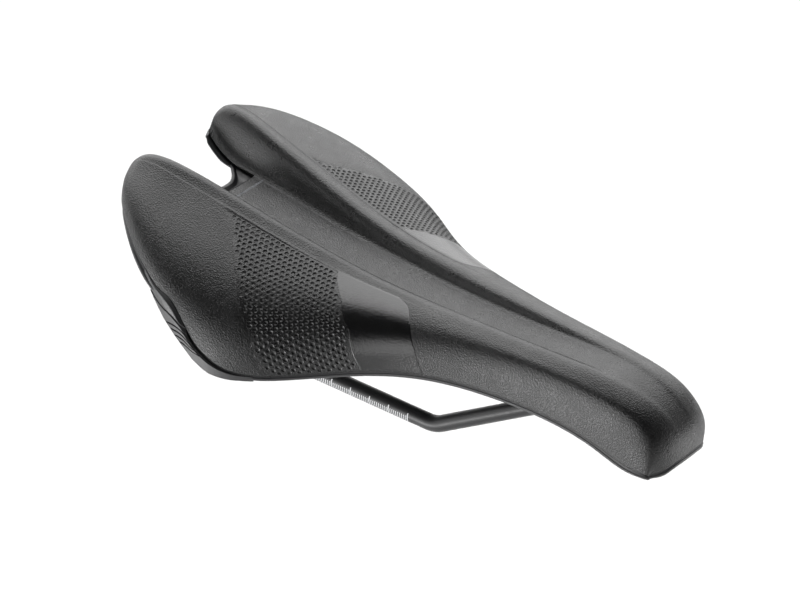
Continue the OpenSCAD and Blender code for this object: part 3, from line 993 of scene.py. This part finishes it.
def groove_depth(u, q):
    """Oblique grooves across the guard, and the step between its upper strip and its face."""
    reach = smooth(0.03, 0.08, q) * (1 - smooth(0.93, 1.0, q))
    grooves = np.zeros_like(u)
    for k in range(GUARD_GROOVES):
        centre = FIRST_GROOVE_U + GROOVE_SPACING_U * k - 0.74 * q + 0.06 * q * q
        groove = GUARD_GROOVE_MM * bump((u - centre) / GUARD_GROOVE_HALF_U) * reach
        grooves = np.maximum(grooves, groove)
    step_line = 4.93 - 1.3 * q
    line = STEP_LINE_MM * bump((u - step_line) / STEP_LINE_HALF_U)
    strip = STRIP_MM * (1 - smooth(-0.012, 0.012, u - step_line)) * smooth(3.4, 3.7, u)
    return (np.maximum(grooves, line) + strip) * smooth(0.1, 0.3, guard_growth(u))


def make_guard(side, name, node, material):
    us = np.linspace(GUARD_U[0], GUARD_U[1], GUARD_ROWS)
    u, q = np.meshgrid(us, np.linspace(0, 1, GUARD_COLUMNS), indexing="ij")
    face = guard_surface(u, q)
    low = below(us, V_MAX + 0 * us, RIM_MM + 0.6 * GUARD_DROP_MM * guard_growth(us))
    # From the face's lower edge the section rounds in under the rim, then back up inside the lip.
    span = low - face[:, -1]
    length = np.linalg.norm(span, axis=-1, keepdims=True)
    bottoms = []
    for share, dip in GUARD_ROUNDING:
        dipped = np.array([0, 0, 1.0]) * dip * np.minimum(1, length / 2)
        bottoms.append(face[:, -1] + span * share - dipped)
    inner = face[:, 0] + (low - face[:, 0]) * 0.5 + unit(span + 1e-6) * 0.3
    ring = np.concatenate([face, np.stack(bottoms, 1), inner[:, None]], 1)
    if side < 0:
        ring = mirrored(ring)
    n = ring.shape[1]
    faces = []
    for i in range(GUARD_ROWS - 1):
        for j in range(n):
            a, b = i * n + j, i * n + (j + 1) % n
            faces.append(turned((a, a + n, b + n, b), side))
    faces.append(turned(list(range(n)), side))
    faces.append(turned([(GUARD_ROWS - 1) * n + j for j in reversed(range(n))], side))
    obj = add_object(name, ring.reshape(-1, 3), faces)
    finish_piece(obj, material, "guard_plastic", node)


# ---- rail
RAIL_MM = 7.0
RUN_Y = 22.0
LOOP_Z = 31.5
RAIL_SEGMENTS = 48
RAIL_ROUNDING_MM = 0.5
# The rod's corners on the left, from the rear socket to the loop in the nose: place and bend radius.
LEFT_RUN = [
    ((-78, 27, 42), 0),
    ((-40, RUN_Y, 0), 14),
    ((40, RUN_Y, 0), 14),
    ((100, 10, LOOP_Z), 12),
    ((121, 10, LOOP_Z), 9),
]


def filleted(corners, spacing=0.9):
    """Centreline through the corners, each rounded to its radius, spacing mm apart in the bends."""
    points = [np.array(corners[0][0], float)]
    for k in range(1, len(corners) - 1):
        before, here, after = (np.array(corners[k + d][0], float) for d in (-1, 0, 1))
        radius = corners[k][1]
        back, ahead = unit(before - here), unit(after - here)
        half = math.acos(float(np.clip(back @ ahead, -1, 1))) / 2
        setback = radius / math.tan(half)
        centre = here + unit(back + ahead) * radius / math.sin(half)
        start, end = here + back * setback - centre, here + ahead * setback - centre
        sweep = math.pi - 2 * half
        count = max(4, int(radius * sweep / spacing))
        for i in range(count + 1):
            t = i / count
            mixed = start * math.sin((1 - t) * sweep) + end * math.sin(t * sweep)
            points.append(centre + mixed / math.sin(sweep))
    points.append(np.array(corners[-1][0], float))
    return np.array(points)


def tube(points, radius, segments, rounding):
    """Swept round rod with slightly rounded ends, using parallel transport."""
    tangents = unit(np.gradient(points, axis=0))
    side = unit(np.cross(tangents[0], [0, 0, 1.0]))
    rings = []
    for p, t in zip(points, tangents):
        side = unit(side - t * (side @ t))
        rings.append((p, radius, side, np.cross(t, side)))
    # Each end has a narrower ring at the tip and a full one just inside it.
    first, last = rings[0], rings[-1]
    layers = [(first[0], radius - rounding, *first[2:])]
    layers.append((first[0] + tangents[0] * rounding, radius, *first[2:]))
    layers += rings[1:-1]
    layers.append((last[0] - tangents[-1] * rounding, radius, *last[2:]))
    layers.append((last[0], radius - rounding, *last[2:]))
    verts = []
    for centre, r, across, up in layers:
        for i in range(segments):
            angle = 2 * math.pi * i / segments
            verts.append(centre + (across * math.cos(angle) + up * math.sin(angle)) * r)
    faces = []
    for k in range(len(layers) - 1):
        for i in range(segments):
            a, b = k * segments + i, k * segments + (i + 1) % segments
            faces.append((a, a + segments, b + segments, b))
    faces.append(list(range(segments)))
    faces.append([len(verts) - segments + i for i in reversed(range(segments))])
    return np.array(verts), faces


def make_rail():
    right_run = [((p[0], -p[1], p[2]), r) for p, r in reversed(LEFT_RUN)]
    centreline = filleted(LEFT_RUN + right_run)
    verts, faces = tube(centreline, RAIL_MM / 2, RAIL_SEGMENTS, RAIL_ROUNDING_MM)
    obj = add_object("rail_rod", verts, faces)
    finish_piece(obj, painted_steel(), "black_steel", "rail")


TICK_FRONT_X = 28
TICK_COUNT = 51
MINOR_HALF_MM = 0.17
MAJOR_HALF_MM = 0.255
MAJOR_EVERY = 10
# A mark runs round the rod between these angles, and from inside its surface to just proud of it.
TICK_LOW = math.radians(-34)
TICK_HIGH = math.radians(12)
MAJOR_HIGH = math.radians(33)
TICK_STEPS = 8
TICK_IN_MM = 3.42
TICK_OUT_MM = 3.525


def make_scale(side, name, material):
    """Clamp scale on the outer face of a straight run: a thin raised mark every millimetre."""
    verts, faces = [], []
    for k in range(TICK_COUNT):
        x = TICK_FRONT_X - k
        major = k % MAJOR_EVERY == 0
        high = MAJOR_HIGH if major else TICK_HIGH
        half = MAJOR_HALF_MM if major else MINOR_HALF_MM
        corners = ((-half, TICK_IN_MM), (-half, TICK_OUT_MM), (half, TICK_OUT_MM), (half, TICK_IN_MM))
        start = len(verts)
        for angle in np.linspace(TICK_LOW, high, TICK_STEPS + 1):
            for dx, r in corners:
                verts.append((x + dx, side * (RUN_Y + r * math.cos(angle)), r * math.sin(angle)))
        for i in range(TICK_STEPS):
            for j in range(4):
                a, b = start + 4 * i + j, start + 4 * i + (j + 1) % 4
                faces.append(turned((a, a + 4, b + 4, b), side))
        faces.append(turned([start + j for j in range(4)], side))
        faces.append(turned([start + 4 * TICK_STEPS + j for j in reversed(range(4))], side))
    obj = add_object(name, verts, faces, smooth_faces=False)
    obj.data.materials.append(material)
    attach(obj, "root")


# ---- carried-over CAD nodes
BEVEL_SEGMENTS = 3
BEVEL_ANGLE = math.radians(35)
WELD_M = 1e-6


def dress(names, material, bevel_mm):
    """A CAD node keeps its shape and gets a finish and softened edges."""
    for name in names:
        obj = NODES[name]
        obj.data.materials.clear()
        obj.data.materials.append(material)
        weld = obj.modifiers.new("weld", "WELD")
        weld.merge_threshold = WELD_M
        bevel = obj.modifiers.new("bevel", "BEVEL")
        bevel.width = bevel_mm * MM
        bevel.segments = BEVEL_SEGMENTS
        bevel.limit_method = "ANGLE"
        bevel.angle_limit = BEVEL_ANGLE


# ---- studio
FLOOR_Z = -0.30
FLOOR_HALF = 14


def make_floor():
    mesh = bpy.data.meshes.new("floor")
    signs = ((-1, -1), (1, -1), (1, 1), (-1, 1))
    corners = [(x * FLOOR_HALF, y * FLOOR_HALF, FLOOR_Z) for x, y in signs]
    mesh.from_pydata(corners, [], [(0, 1, 2, 3)])
    obj = bpy.data.objects.new("floor", mesh)
    bpy.context.scene.collection.objects.link(obj)
    m = Nodes("floor_paper", (0.93, 0.93, 0.93), 0.9, 0.2)
    m.tint(m.noise(3, 2), 0.985, 1.0)
    # Seen from below, the floor is clear.
    clear = m.add("ShaderNodeBsdfTransparent")
    mix = m.add("ShaderNodeMixShader")
    m.link(m.add("ShaderNodeNewGeometry").outputs["Backfacing"], mix.inputs["Fac"])
    m.link(m.shader.outputs["BSDF"], mix.inputs[1])
    m.link(clear.outputs["BSDF"], mix.inputs[2])
    m.link(mix.outputs["Shader"], m.tree.nodes["Material Output"].inputs["Surface"])
    mesh.materials.append(m.material)


# Soft boxes in the surroundings: direction, inner and outer half-angle in degrees, brightness.
SOFT_BOXES = [
    ((-0.55, 0.60, 0.58), 42, 46, 2.4),
    ((-0.42, 0.40, 0.82), 20, 27, 1.7),
    ((0.62, 0.72, 0.3), 15, 50, 0.5),
    ((-0.17, -0.98, 0.05), 12, 30, 2.6),
    ((-0.86, -0.50, 0.06), 14, 27, 3.2),
]
AMBIENT = 0.05
# Low panels: place, width, height in metres, and power in watts.  Both face PANEL_AIM.
LOW_PANELS = [
    ((-0.27, -0.48, -0.14), 0.5, 0.2, 2.8),
    ((0.52, 0.30, -0.14), 0.4, 0.2, 0.8),
]
PANEL_AIM = (0, 0, 0.03)


def make_world():
    """Even dim light all round, plus the soft boxes."""
    world = bpy.data.worlds.new("studio")
    world.use_nodes = True
    bpy.context.scene.world = world
    tree = world.node_tree
    background = tree.nodes["Background"]
    direction = tree.nodes.new("ShaderNodeTexCoord").outputs["Generated"]
    total = None
    for centre, inner, outer, brightness in SOFT_BOXES:
        dot = tree.nodes.new("ShaderNodeVectorMath")
        dot.operation = "DOT_PRODUCT"
        tree.links.new(direction, dot.inputs[0])
        dot.inputs[1].default_value = Vector(centre).normalized()
        ramp = tree.nodes.new("ShaderNodeMapRange")
        ramp.interpolation_type = "SMOOTHSTEP"
        ramp.inputs["From Min"].default_value = math.cos(math.radians(outer))
        ramp.inputs["From Max"].default_value = math.cos(math.radians(inner))
        ramp.inputs["To Max"].default_value = brightness
        tree.links.new(dot.outputs["Value"], ramp.inputs["Value"])
        add = tree.nodes.new("ShaderNodeMath")
        add.operation = "ADD"
        add.inputs[1].default_value = AMBIENT
        if total is not None:
            tree.links.new(total, add.inputs[1])
        tree.links.new(ramp.outputs["Result"], add.inputs[0])
        total = add.outputs["Value"]
    tree.links.new(total, background.inputs["Color"])
    bpy.context.scene.view_settings.view_transform = "Standard"


def make_panels():
    for k, (place, width, height, power) in enumerate(LOW_PANELS):
        data = bpy.data.lights.new(f"low_panel_{k}", "AREA")
        data.shape = "RECTANGLE"
        data.size, data.size_y = width, height
        data.energy = power
        lamp = bpy.data.objects.new(data.name, data)
        bpy.context.scene.collection.objects.link(lamp)
        lamp.location = place
        lamp.rotation_mode = "QUATERNION"
        lamp.rotation_quaternion = (Vector(PANEL_AIM) - Vector(place)).to_track_quat("-Z", "Y")
        lamp.visible_camera = False


# ---- assembly
make_camera()
make_cover()
make_shell()
make_foam()
gel_material = gel()
make_insert(1, "sit_insert_left", "sit_pad_left", gel_material)
make_insert(-1, "sit_insert_right", "sit_pad_right", gel_material)

texture_material = leather("grip_texture_skin", 0.7, 0.27, False)
film_material = film_finish()
guard_material = moulded("guard_finish", (0.02, 0.02, 0.021), 0.38)
ink = print_ink()
for side, word in ((1, "left"), (-1, "right")):
    patch = "grip_patch_" + word
    film_piece("grip_texture_" + word, side, TEXTURE_STEP_MM, TEXTURE_U, True, texture_material, patch)
    film_piece("grip_film_" + word, side, FILM_STEP_MM, FILM_U, False, film_material, patch)
    make_guard(side, "guard_strip_" + word, "scuff_guard_" + word, guard_material)
    make_scale(side, "rail_scale_" + word, ink)
make_rail()

hardware = moulded("fitting_nylon", (0.018, 0.018, 0.019), 0.46, 1.4)
FITTINGS = ["rail_socket_left", "rail_socket_right", "nose_bridge", "nose_keeper", "accessory_mount"]
SCREWS = ["socket_screw_left", "socket_screw_right", "nose_screw"]
SCREWS += ["mount_screw_left", "mount_screw_right"]
dress(FITTINGS, hardware, 0.5)
dress(SCREWS, plated(), 0.3)
make_floor()
make_world()
make_panels()
